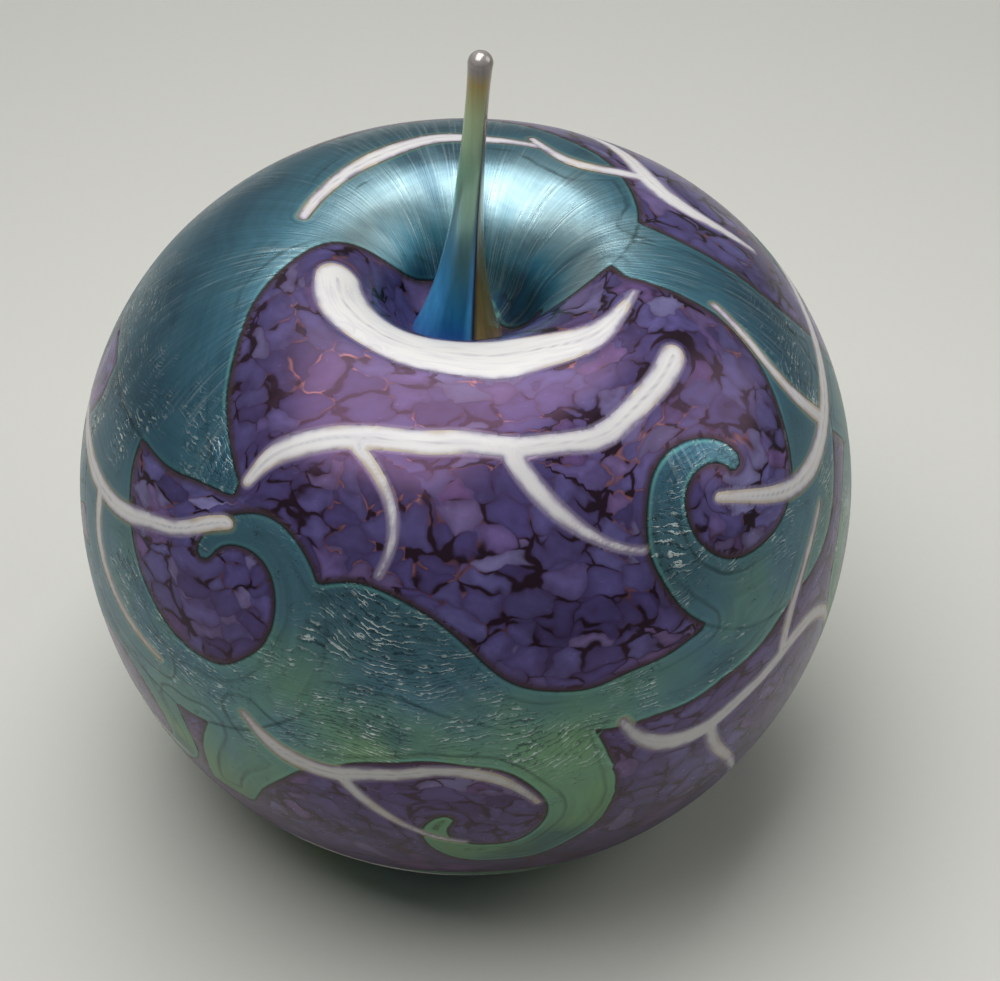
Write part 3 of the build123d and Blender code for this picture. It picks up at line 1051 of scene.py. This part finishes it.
@dataclass(frozen=True)
class LustreGlass(Finish):
    """Silvered teal glass, fumed hot: a thin metal skin that crazes as the glass under it is drawn out.

    The eye sees a smooth satin metal sheen, silver over the crown, teal round the body and green low down,
    with glinting crinkles in patches from the middle up and short dark cracks. The crinkles are drawn a
    little coarser than they are, so that they show.
    """

    label: ClassVar[str] = "silver lustre glass, fumed"
    crinkle_mm: float = 0.6
    crinkle_squash: tuple[float, float, float] = (0.35, 0.35, 1.0)
    slant_mm: float = 16.67
    slant_reach_mm: float = 2.5
    break_mm: float = 1.667
    patch_mm: float = 11.11
    brush_mm: float = 0.5
    brush_length_mm: float = 11.11
    streak_mm: float = 0.8
    streak_length_mm: float = 14.29
    craze_mm: float = 2.4
    craze_height_mm: float = 0.923
    craze_bend_mm: float = 1.412
    craze_cloud_mm: float = 2.5
    navy_mm: float = 11.76
    cloud_mm: float = 20.0
    film_reach_mm: float = 14.0
    # Places on the way up the body from the foot
    film_end_mm: float = 120.0
    calm: Span = (74.0, 94.0)
    crinkled: Span = (46.0, 58.0)
    crown: Span = (72.0, 88.0)
    # The film's colours up the body; the deep navy and near black at the end are painted shade in the well
    films_and_well_shade: Stops = (
        (0.0, "#285f74"),
        (0.12, "#326c70"),
        (0.22, "#648a62"),
        (0.36, "#688c6a"),
        (0.45, "#5e8376"),
        (0.54, "#527684"),
        (0.7, "#3a6478"),
        (0.78, "#4a7687"),
        (0.845, "#829ca2"),
        (0.89, "#3d7589"),
        (0.93, "#153452"),
        (1.0, "#091730"),
    )
    glow: Stops = (
        (0.0, "#000000"),
        (0.2, "#000000"),
        (0.38, "#ffffff"),
        (0.7, "#000000"),
        (1.0, "#000000"),
    )

    def film(self, put: Put, along: Socket, cloud: Socket) -> Socket:
        """Colours the film, which is thinner and thicker in clouds that move its colours up and down.

        Args:
            put: adds a node to the material.
            along: the way up the body.
            cloud: the clouds.

        Returns:
            The film's colour, which painted shade turns deep navy down the well.
        """
        drift = {0: cloud, 1: 0.3, 2: 0.7, 3: -self.film_reach_mm, 4: self.film_reach_mm}
        drift = put("MapRange", drift)
        calm = put("MapRange", {0: along, 1: self.calm[0], 2: self.calm[1], 3: 1.0, 4: 0.15})
        drift = put("Math", {0: drift, 1: calm}, operation="MULTIPLY")
        climb = put("Math", {0: along, 1: drift}, operation="ADD")
        climb = put("Math", {0: climb, 1: self.film_end_mm}, operation="DIVIDE")
        return put("ValToRGB", {0: climb}, stops=self.films_and_well_shade)

    def crinkles(self, put: Put, place: Socket) -> tuple[Socket, Socket]:
        """Draws crinkles round the body, because the skin was stretched up and down.

        Args:
            put: adds a node to the material.
            place: the place on the unrolled body.

        Returns:
            The crests of the crinkles, and the hollows beside them.
        """
        slant = put("TexNoise", {"Vector": place, "Scale": 1 / self.slant_mm, "Detail": 1.0})
        slant = {0: slant, 1: 0.3, 2: 0.7, 3: -self.slant_reach_mm, 4: self.slant_reach_mm}
        slant = put("CombineXYZ", {"Z": put("MapRange", slant)})
        slanted = put("VectorMath", {0: place, 1: slant}, operation="ADD")
        slanted = put("VectorMath", {0: slanted, 1: self.crinkle_squash}, operation="MULTIPLY")
        # A band of the wave node is a tenth of pi long at a scale of one
        wave = {"Vector": slanted, "Scale": 0.1 * math.pi / self.crinkle_mm, "Distortion": 9.0}
        wave |= {"Detail": 3.0, "Detail Scale": 2.8, "Detail Roughness": 0.6}
        crest = put("TexWave", wave, out="Fac", bands_direction="Z")
        crest = put("MapRange", {0: crest, 1: 0.8, 2: 0.99}, **SOFT_ENDS)
        hollow = put("TexWave", wave | {"Phase Offset": 1.1}, out="Fac", bands_direction="Z")
        hollow = put("MapRange", {0: hollow, 1: 0.72, 2: 1.0, 3: 0.0, 4: 0.7}, **SOFT_ENDS)
        broken = {"Vector": place, "Scale": 1 / self.break_mm, "Detail": 3.0, "Roughness": 0.6}
        broken = put("MapRange", {0: put("TexNoise", broken), 1: 0.44, 2: 0.62}, **SOFT_ENDS)
        return put("Math", {0: crest, 1: broken}, operation="MULTIPLY"), hollow

    def cracks(self, put: Put, place: Socket, crown: Socket) -> Socket:
        """Draws short dark cracks in patches, with none on the crown.

        Args:
            put: adds a node to the material.
            place: the place on the unrolled body.
            crown: how far it is on the crown.

        Returns:
            Nothing in a crack and one beside it.
        """
        size = (1 / self.craze_mm, 1 / self.craze_mm, 1 / self.craze_height_mm)
        crack = put("VectorMath", {0: place, 1: size}, operation="MULTIPLY")
        bend = {"Vector": crack, "Scale": self.craze_mm / self.craze_bend_mm, "Detail": 3.0}
        bend = put("TexNoise", bend, out="Color")
        crack = put("VectorMath", {0: crack, 1: bend}, operation="ADD")
        cells = {"Vector": crack, "Scale": 1.0}
        crack = put("TexVoronoi", cells, out="Distance", feature="DISTANCE_TO_EDGE")
        where = put("TexNoise", {"Vector": place, "Scale": 1 / self.craze_cloud_mm, "Detail": 2.0})
        where = put("MapRange", {0: where, 1: 0.5, 2: 0.7, 3: 0.002, 4: 0.05})
        crack = put("MapRange", {0: crack, 1: 0.0, 2: where, 3: 0.0, 4: 1.0})
        return put("Math", {0: crack, 1: crown}, operation="MAXIMUM")

    def edge_layers(
        self, put: Put, gap: Socket, cloud: Socket, streak: Socket, navy: Socket
    ) -> list[tuple[Socket, str]]:
        """Draws a dark flow line in from the edge, a bright fringe, a dark outline and faint joins.

        Args:
            put: adds a node to the material.
            gap: distance to the edge.
            cloud: the film's clouds.
            streak: the streaks along the trail.
            navy: the dark blotches.

        Returns:
            How much of each line shows, and its colour. Last comes cream beside a white thread.
        """
        sway = put("MapRange", {0: cloud, 1: 0.35, 2: 0.65, 3: 0.9, 4: 2.6})
        flow = put("Math", {0: gap, 1: sway}, operation="SUBTRACT")
        flow = put("Math", {0: flow}, operation="ABSOLUTE")
        flow = put("MapRange", {0: flow, 1: 0.05, 2: 0.4, 3: 0.6, 4: 0.0}, **SOFT_ENDS)
        fades = put("MapRange", {0: streak, 1: 0.42, 2: 0.62, 3: 0.0, 4: 1.0})
        flow = put("Math", {0: flow, 1: fades}, operation="MULTIPLY")
        fringe = put("Math", {0: put("ValToRGB", {0: gap}, stops=self.glow), 1: 0.6}, operation="MULTIPLY")
        clear = put("MapRange", {0: navy, 2: 0.3, 3: 0.3, 4: 1.0})
        fringe = put("Math", {0: fringe, 1: clear}, operation="MULTIPLY")
        line = put("MapRange", {0: gap, 1: 0.04, 2: 0.3, 3: 0.95, 4: 0.0}, **SOFT_ENDS)
        join = put("Attribute", attribute_name=Edge.JOIN.value, out="Fac")
        join = put("MapRange", {0: join, 1: 0.02, 2: 0.36, 3: 0.6, 4: 0.0}, **SOFT_ENDS)
        faded = put("MapRange", {0: cloud, 1: 0.4, 2: 0.58, 3: 0.15, 4: 1.0})
        join = put("Math", {0: join, 1: faded}, operation="MULTIPLY")
        cream = put("Attribute", attribute_name=Edge.WHITE.value, out="Fac")
        cream = put("MapRange", {0: cream, 1: 0.0, 2: 0.6, 3: 0.65, 4: 0.0}, **SOFT_ENDS)
        lines = [flow, fringe, line, join, cream]
        return list(zip(lines, ("#182c28", "#68a8a2", "#1f241c", "#1c3634", "#9d9a80")))

    def shade(self, put: Put) -> Socket:
        """Draws the film, the crinkles, the cracks and the edges, in that order.

        Args:
            put: adds a node to the material.

        Returns:
            The shader.
        """
        place = put("Attribute", attribute_name="unrolled", out="Vector")
        gap = put("Attribute", attribute_name=Edge.LUSTRE.value, out="Fac")
        along = put("SeparateXYZ", {0: place}, out="Z")
        crown = put("MapRange", {0: along, 1: self.crown[0], 2: self.crown[1]}, **SOFT_ENDS)
        cloud = put("TexNoise", {"Vector": place, "Scale": 1 / self.cloud_mm, "Detail": 3.0})
        navy = put("TexNoise", {"Vector": place, "Scale": 1 / self.navy_mm, "Detail": 2.0})
        navy = put("MapRange", {0: navy, 1: 0.5, 2: 0.72, 3: 0.0, 4: 0.6}, **SOFT_ENDS)
        film = self.lay_over(put, self.film(put, along, cloud), [(navy, "#2e5266")])
        # Faint streaks follow the trail's edge, because the glass was drawn out along it
        across = put("Math", {0: gap, 1: 1 / self.streak_mm}, operation="MULTIPLY")
        slow = put("VectorMath", {0: place, 3: 1 / self.streak_length_mm}, operation="SCALE")
        drawn = {"Vector": slow, "W": across, "Scale": 1.0, "Detail": 4.0, "Roughness": 0.6}
        streak = put("TexNoise", drawn, noise_dimensions="4D")
        tone = put("MapRange", {0: streak, 1: 0.3, 2: 0.7, 3: 0.86, 4: 1.14})
        # Over the crown the skin was turned into the well, which leaves fine lines across the lip
        size = (1 / self.brush_mm, 1 / self.brush_mm, 1 / self.brush_length_mm)
        brush = put("VectorMath", {0: place, 1: size}, operation="MULTIPLY")
        brush = put("TexNoise", {"Vector": brush, "Scale": 1.0, "Detail": 4.0, "Roughness": 0.6})
        spark = put("MapRange", {0: brush, 1: 0.35, 2: 0.65, 3: 0.9, 4: 1.12})
        spark = put("Mix", {0: crown, 2: 1.0, 3: spark})
        tone = put("Math", {0: tone, 1: spark}, operation="MULTIPLY")
        colour = put("VectorMath", {0: film, 3: tone}, operation="SCALE")
        # The crinkles lie in patches: painted glints on their crests and painted shade in the hollows
        # beside them, and painted glints along the crown's fine lines
        patch = {"Vector": place, "Scale": 1 / self.patch_mm, "Detail": 4.0, "Roughness": 0.6}
        patch = put("MapRange", {0: put("TexNoise", patch), 1: 0.44, 2: 0.6}, **SOFT_ENDS)
        above = put("MapRange", {0: along, 1: self.crinkled[0], 2: self.crinkled[1]}, **SOFT_ENDS)
        patch = put("Math", {0: patch, 1: above}, operation="MULTIPLY")
        crest, hollow = self.crinkles(put, place)
        brush_glint = put("MapRange", {0: brush, 1: 0.5, 2: 0.64, 3: 0.0, 4: 0.3})
        hollow_shade = put("Mix", {0: crown, 2: hollow, 3: 0.0})
        bright = put("Mix", {0: crown, 2: crest, 3: brush_glint})
        # Each mark is painted light: dark for the shade in the hollows, pale silver for the glints
        for mark, bare in ((hollow_shade, "#142a36"), (bright, "#ccd8da")):
            mark = put("Math", {0: mark, 1: patch}, operation="MULTIPLY")
            mark = put("Math", {0: mark, 1: 0.95}, operation="MULTIPLY")
            colour = self.lay_over(put, colour, [(mark, bare)])
        crack = self.cracks(put, place, crown)
        cracked = put("VectorMath", {0: colour, 3: 0.4}, operation="SCALE")
        colour = put("Mix", {0: crack, 6: cracked, 7: colour}, **COLOURS)
        colour = self.lay_over(put, colour, self.edge_layers(put, gap, cloud, streak, navy))
        rough = put("MapRange", {0: patch, 3: 0.36, 4: 0.27})
        ruck = put("MapRange", {0: patch, 3: 0.0, 4: 0.4})
        lines = put("MapRange", {0: crown, 3: 0.0, 4: 0.26})
        ruck = put("Math", {0: ruck, 1: lines}, operation="MAXIMUM")
        deep = put("MapRange", {0: crown, 3: 0.04 * MM, 4: 0.14 * MM})
        crinkle = put("Math", {0: crest, 1: hollow}, operation="SUBTRACT")
        crinkle = put("Mix", {0: crown, 2: crinkle, 3: brush})
        bump = put("Bump", {"Height": crinkle, "Strength": ruck, "Distance": deep})
        bump = put("Bump", {"Height": crack, "Strength": 0.3, "Distance": 0.06 * MM, "Normal": bump})
        sheen = {"Base Color": colour, "Roughness": rough, "Normal": bump, "Metallic": 0.8}
        return put("BsdfPrincipled", sheen)


@dataclass(frozen=True)
class WhiteGlass(Finish):
    """Opal white glass, laid on as a thread: dense white with a grey seam, thin and violet at its edges.

    The eye sees a soft white line that melts into the violet beside it, with a straw edge in places, and
    painted shade that darkens its edges as if it were round. The streaks along it are drawn coarser than
    they are, so that they show.
    """

    label: ClassVar[str] = "opal white glass"
    streak_mm: float = 0.3
    streak_length_mm: float = 10.0
    fray_mm: float = 2.0
    fray_reach_mm: float = 0.14
    cloud_mm: float = 10.0
    thin: Stops = (
        (0.0, "#787186"),
        (0.16, "#9d97a4"),
        (0.36, "#bebbbf"),
        (0.62, "#cbc9c8"),
        (1.0, "#d0cecc"),
    )

    def shade(self, put: Put) -> Socket:
        """Draws the thread from its edges to its seam.

        Args:
            put: adds a node to the material.

        Returns:
            The shader.
        """
        place = put("Attribute", attribute_name="unrolled", out="Vector")
        inside = put("Attribute", attribute_name=Edge.WHITE.value, out="Fac")
        seam = put("Attribute", attribute_name=Skin.SEAM, out="Fac")
        # Its edge is uneven, because the thread was laid on by hand
        spot = put("VectorMath", {0: put("TexCoord", out="Object"), 3: 1 / MM}, operation="SCALE")
        fray = put("TexNoise", {"Vector": spot, "Scale": 1 / self.fray_mm, "Detail": 2.0})
        fray = put("MapRange", {0: fray, 1: 0.3, 2: 0.7, 3: -self.fray_reach_mm, 4: self.fray_reach_mm})
        inside = put("Math", {0: inside, 1: fray}, operation="ADD")
        # From the edge to the core: glass that thins to violet, and painted shade that rounds the flat
        # thread
        colour = put("ValToRGB", {0: inside}, stops=self.thin)
        # The glass is straw in places along its edges, where it ran thin
        cloud = put("TexNoise", {"Vector": place, "Scale": 1 / self.cloud_mm, "Detail": 2.0})
        straw = put("MapRange", {0: cloud, 1: 0.5, 2: 0.62, 3: 0.0, 4: 0.5})
        edge = put("MapRange", {0: inside, 1: 0.05, 2: 0.55, 3: 1.0, 4: 0.0}, **SOFT_ENDS)
        straw = put("Math", {0: straw, 1: edge}, operation="MULTIPLY")
        # Streaks and a fine seam run along the thread
        across = put("Math", {0: seam, 1: 1 / self.streak_mm}, operation="MULTIPLY")
        slow = put("VectorMath", {0: place, 3: 1 / self.streak_length_mm}, operation="SCALE")
        drawn = {"Vector": slow, "W": across, "Scale": 1.0, "Detail": 2.0}
        streak = put("TexNoise", drawn, noise_dimensions="4D")
        streak = put("MapRange", {0: streak, 1: 0.5, 2: 0.72, 3: 0.0, 4: 0.4})
        wide = put("MapRange", {0: inside, 1: 0.35, 2: 0.8}, **SOFT_ENDS)
        streak = put("Math", {0: streak, 1: wide}, operation="MULTIPLY")
        fades = put("MapRange", {0: cloud, 1: 0.4, 2: 0.56, 3: 0.25, 4: 0.7}, **SOFT_ENDS)
        deep = put("Math", {0: wide, 1: fades}, operation="MULTIPLY")
        seam = put("MapRange", {0: seam, 1: 0.0, 2: 0.3, 3: 1.0, 4: 0.0}, **SOFT_ENDS)
        seam = put("Math", {0: seam, 1: deep}, operation="MULTIPLY")
        layers = [(straw, "#c4b58a"), (streak, "#a9a6b2"), (seam, "#98979f")]
        colour = self.lay_over(put, colour, layers)
        rough = put("MapRange", {0: cloud, 1: 0.3, 2: 0.7, 3: 0.26, 4: 0.38})
        bump = put("Bump", {"Height": inside, "Strength": 0.3, "Distance": 0.06 * MM})
        return put("BsdfPrincipled", {"Base Color": colour, "Roughness": rough, "Normal": bump, "IOR": 1.5})


@dataclass(frozen=True)
class StemGlass(Finish):
    """Drawn lustre glass: blue where it is thick, green and amber where it is thin, pale at the bead.

    The eye sees a glossy bar with a bright cyan line on each side of its front face, and a folded olive
    side.
    """

    label: ClassVar[str] = "drawn lustre glass"
    streak_mm: float = 0.625
    streak_length_mm: float = 20.0
    # Up the stem, from the well to the bead
    front: Stops = (
        (0.0, "#0a2450"),
        (0.1, "#1656a8"),
        (0.2, "#2c86ae"),
        (0.34, "#4d8a86"),
        (0.46, "#6f9c88"),
        (0.6, "#93c0a0"),
        (0.76, "#a4b98c"),
        (0.86, "#a08e4c"),
        (0.905, "#8c8688"),
        (1.0, "#a39c99"),
    )
    folded: Stops = (
        (0.0, "#8f8a66"),
        (0.12, "#a3944e"),
        (0.3, "#8f7f4c"),
        (0.6, "#766a58"),
        (0.86, "#8a8060"),
        (1.0, "#9a9390"),
    )
    lit_height: Stops = (
        (0.0, "#000000"),
        (0.06, "#303030"),
        (0.2, "#ffffff"),
        (0.36, "#b0b0b0"),
        (0.55, "#000000"),
        (1.0, "#000000"),
    )
    # Across the stem, from its left to its right
    lit_edges: Stops = (
        (0.0, "#ffffff"),
        (0.12, "#555555"),
        (0.3, "#000000"),
        (0.4, "#101010"),
        (0.47, "#ffffff"),
        (1.0, "#000000"),
    )
    crease: Stops = (
        (0.0, "#ffffff"),
        (0.49, "#ffffff"),
        (0.53, "#4a443c"),
        (0.6, "#ffffff"),
        (1.0, "#ffffff"),
    )

    def shade(self, put: Put) -> Socket:
        """Draws the front face, the folded side, the crease between them and the drawn streaks.

        Args:
            put: adds a node to the material.

        Returns:
            The shader.
        """
        rise = put("Attribute", attribute_name="rise", out="Fac")
        flank = put("Attribute", attribute_name="flank", out="Fac")
        share = put("Math", {0: rise, 1: 1.0 + Stem.BEAD_RISE}, operation="DIVIDE")
        across = put("MapRange", {0: flank, 1: -1.0, 2: 1.0})
        front = put("ValToRGB", {0: share}, stops=self.front)
        # Painted highlights: a cyan line on each edge of the front face, on the lower stem
        lit = put("ValToRGB", {0: across}, stops=self.lit_edges)
        lower = put("ValToRGB", {0: share}, stops=self.lit_height)
        lit = put("Math", {0: lit, 1: lower}, operation="MULTIPLY")
        front = self.lay_over(put, front, [(lit, "#56baf2")])
        folded = put("ValToRGB", {0: share}, stops=self.folded)
        side = put("MapRange", {0: flank, 1: -0.02, 2: 0.16}, **SOFT_ENDS)
        colour = put("Mix", {0: side, 6: front, 7: folded}, **COLOURS)
        # Painted shade: a dark line along the fold, on the lower stem
        crease = put("ValToRGB", {0: across}, stops=self.crease)
        below = put("MapRange", {0: rise, 1: 0.55, 2: 0.95, 3: 1.0, 4: 0.0}, **SOFT_ENDS)
        colour = put("Mix", {0: below, 6: colour, 7: crease}, blend_type="MULTIPLY", **COLOURS)
        size = tuple(1 / (mm * MM) for mm in (self.streak_mm, self.streak_mm, self.streak_length_mm))
        drawn = put("VectorMath", {0: put("TexCoord", out="Object"), 1: size}, operation="MULTIPLY")
        drawn = put("TexNoise", {"Vector": drawn, "Scale": 1.0, "Detail": 3.0})
        tone = put("MapRange", {0: drawn, 1: 0.3, 2: 0.7, 3: 0.85, 4: 1.15})
        colour = put("VectorMath", {0: colour, 3: tone}, operation="SCALE")
        bump = put("Bump", {"Height": drawn, "Strength": 0.12, "Distance": 0.08 * MM})
        gloss = {"Base Color": colour, "Roughness": 0.2, "Metallic": 0.35, "Normal": bump}
        gloss |= {"Coat Weight": 0.6, "Coat Roughness": 0.06}
        return put("BsdfPrincipled", gloss)


@dataclass(frozen=True)
class ClearGlass(Finish):
    """Solid clear glass, ground and polished at the foot.

    The eye sees a glossy dark violet from the casing behind it, with faint marks of the grinding. They are
    drawn coarser than they are, so that they show.
    """

    label: ClassVar[str] = "clear glass, ground and polished"
    cloud_mm: float = 5.0
    grind_mm: float = 0.7
    violets: Stops = ((0.35, "#2c2438"), (0.68, "#4d4660"))

    def shade(self, put: Put) -> Socket:
        """Draws the violet behind the glass and the marks on it.

        Args:
            put: adds a node to the material.

        Returns:
            The shader.
        """
        place = put("VectorMath", {0: put("TexCoord", out="Object"), 3: 1 / MM}, operation="SCALE")
        cloud = put("TexNoise", {"Vector": place, "Scale": 1 / self.cloud_mm, "Detail": 3.0})
        colour = put("ValToRGB", {0: cloud}, stops=self.violets)
        grind = put("TexNoise", {"Vector": place, "Scale": 1 / self.grind_mm, "Detail": 5.0})
        rough = put("MapRange", {0: grind, 1: 0.3, 2: 0.7, 3: 0.1, 4: 0.26})
        gloss = {"Base Color": colour, "Roughness": rough, "IOR": 1.52, "Coat Weight": 0.4}
        return put("BsdfPrincipled", gloss)


@dataclass(frozen=True)
class PalePaper(Finish):
    """Pale matt paper, laid flat.

    The eye sees a warm grey, made darker away from the apple with painted shade. The grain is drawn
    coarser than it is, so that it shows.
    """

    label: ClassVar[str] = "pale matt paper"
    colour: str = "#c9c9c3"
    grain_mm: float = 1.111
    shaded: Span = (40.0, 150.0)

    def shade(self, put: Put) -> Socket:
        """Draws the sheet's grain and its shading.

        Args:
            put: adds a node to the material.

        Returns:
            The shader.
        """
        place = put("VectorMath", {0: put("TexCoord", out="Object"), 3: 1 / MM}, operation="SCALE")
        grain = put("TexNoise", {"Vector": place, "Scale": 1 / self.grain_mm, "Detail": 4.0})
        tone = put("MapRange", {0: grain, 3: 0.985, 4: 1.015})
        # Painted shade: the sheet darkens away from the apple
        away = put("VectorMath", {0: place}, out="Value", operation="LENGTH")
        away = put("MapRange", {0: away, 1: self.shaded[0], 2: self.shaded[1], 3: 0.97, 4: 0.74})
        tone = put("Math", {0: tone, 1: away}, operation="MULTIPLY")
        colour = put("VectorMath", {0: linear(self.colour)[:3], 3: tone}, operation="SCALE")
        return put("BsdfPrincipled", {"Base Color": colour, "Roughness": 0.75, "Specular IOR Level": 0.2})


@dataclass(frozen=True)
class Lamp:
    """A rectangular soft light, in millimetres and watts."""

    name: str
    place: tuple[float, float, float]
    size: Span
    power: float

    def hang(self, target_height: float) -> None:
        """Hangs the lamp and turns it to the body's axis.

        Args:
            target_height: height of the point that it is turned to.
        """
        light = bpy.data.lights.new(self.name, "AREA")
        light.shape = "RECTANGLE"
        light.size, light.size_y = (side * MM for side in self.size)
        light.energy = self.power
        made = bpy.data.objects.new(self.name, light)
        made.location = Vector(self.place) * MM
        aim = Vector((0.0, 0.0, target_height)) * MM - made.location
        made.rotation_euler = aim.to_track_quat("-Z", "Y").to_euler()
        bpy.context.collection.objects.link(made)


@dataclass(frozen=True)
class Studio:
    """The pale floor, the soft lights and the camera at the photograph's angle, in millimetres."""

    target_height: float = 36.0
    distance: float = 400.0
    elevation: float = 42.2
    focal_px: float = 3842.0
    width_px: float = 1000.0
    height_px: float = 981.0
    target_px: Span = (465.7, 480.7)
    sensor: float = 36.0
    clip_start: float = 10.0
    floor_half: float = 3000.0
    paper: PalePaper = PalePaper()
    lamps: tuple[Lamp, ...] = (
        Lamp("overhead", (-90.0, 50.0, 600.0), (760.0, 460.0), 4.75),
        Lamp("fill", (420.0, 60.0, 300.0), (300.0, 300.0), 0.48),
    )
    # From the floor up: what lights the apple, and what shows behind it and in it
    room: Stops = ((0.0, "#181818"), (0.4, "#343433"), (0.75, "#787876"), (1.0, "#a4a5a2"))
    wall: Stops = ((0.0, "#8f908c"), (1.0, "#b4b5b2"))

    def build(self) -> None:
        """Makes the camera, the floor, the lights and the world."""
        self.set_camera()
        self.lay_floor()
        for lamp in self.lamps:
            lamp.hang(self.target_height)
        self.light_room()

    def set_camera(self) -> None:
        """Places the camera so that the body falls where the photograph has it."""
        tilt = math.radians(self.elevation)
        lens = bpy.data.cameras.new("camera")
        lens.sensor_width = self.sensor
        lens.lens = self.sensor * self.focal_px / self.width_px
        lens.shift_x = (self.width_px / 2 - self.target_px[0]) / self.width_px
        lens.shift_y = -(self.height_px / 2 - self.target_px[1]) / self.width_px
        lens.clip_start = self.clip_start * MM
        made = bpy.data.objects.new("camera", lens)
        back, up = self.distance * math.cos(tilt), self.distance * math.sin(tilt)
        made.location = Vector((0.0, -back, self.target_height + up)) * MM
        made.rotation_euler = (math.pi / 2 - tilt, 0.0, 0.0)
        bpy.context.collection.objects.link(made)
        bpy.context.scene.camera = made

    def lay_floor(self) -> None:
        """Lays the pale sheet that the apple stands on."""
        half = self.floor_half * MM
        corners = [(x * half, y * half, 0.0) for x, y in ((-1, -1), (1, -1), (1, 1), (-1, 1))]
        mesh = bpy.data.meshes.new("floor")
        mesh.from_pydata(corners, [], [(0, 1, 2, 3)])
        mesh.materials.append(self.paper.material())
        sheet = bpy.data.objects.new("floor", mesh)
        bpy.context.collection.objects.link(sheet)

    def light_room(self) -> None:
        """Makes the room's own light, which is dim low down, and the plain wall that shows in its place."""
        world = bpy.data.worlds.new("room")
        world.use_nodes = True
        world.node_tree.nodes.clear()
        put = partial(add_node, world.node_tree)
        up = put("SeparateXYZ", {0: put("TexCoord", out="Generated")}, out="Z")
        room = put("ValToRGB", {0: up}, stops=self.room)
        wall = put("ValToRGB", {0: up}, stops=self.wall)
        seen = put("LightPath", out="Is Camera Ray")
        for ray in ("Is Glossy Ray", "Is Transmission Ray"):
            seen = put("Math", {0: seen, 1: put("LightPath", out=ray)}, operation="MAXIMUM")
        shown = put("Mix", {0: seen, 6: room, 7: wall}, **COLOURS)
        shown = put("Background", {"Color": shown, "Strength": 1.0})
        put("OutputWorld", {"Surface": shown})
        bpy.context.scene.world = world


@dataclass
class Apple:
    """The whole apple: the laid-in surface, the clear heart and the stem, in millimetres."""

    form: BodyForm = BodyForm()
    casing_mm: float = 3.0
    trail_mm: float = 1.2
    thread_mm: float = 0.8
    white_detail: int = 2

    def build(self) -> None:
        """Builds and dresses every piece."""
        layout = Layout(self.form)
        skin = Skin(self.form, layout).lay_out()
        columns, rows = skin.columns * self.white_detail, (skin.rows - 1) * self.white_detail + 1
        fine = Skin(self.form, layout, columns, rows).lay_out(skin)
        finish = {
            Glass.CASING: FritCasing().material(),
            Glass.LUSTRE: LustreGlass().material(),
            Glass.WHITE: WhiteGlass().material(),
        }
        depth = {Glass.CASING: self.casing_mm, Glass.LUSTRE: self.trail_mm, Glass.WHITE: self.thread_mm}
        for index, (name, kind) in enumerate(zip(layout.names, layout.kinds)):
            LaidPiece(name, kind.value, depth[kind], (skin, fine), index).build(finish[kind])
        Stem().build(StemGlass().material())
        heart = frame["nodes"]["heart"]
        heart.data.materials.clear()
        heart.data.materials.append(ClearGlass().material())
        LOG.info("heart: finish only")


def main() -> None:
    """Builds the studio and the apple."""
    logging.basicConfig(level=logging.INFO, format="%(name)s %(message)s")
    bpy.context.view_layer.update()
    bpy.context.scene.view_settings.view_transform = "Standard"
    Studio().build()
    Apple().build()


if __name__ == "__main__":
    main()
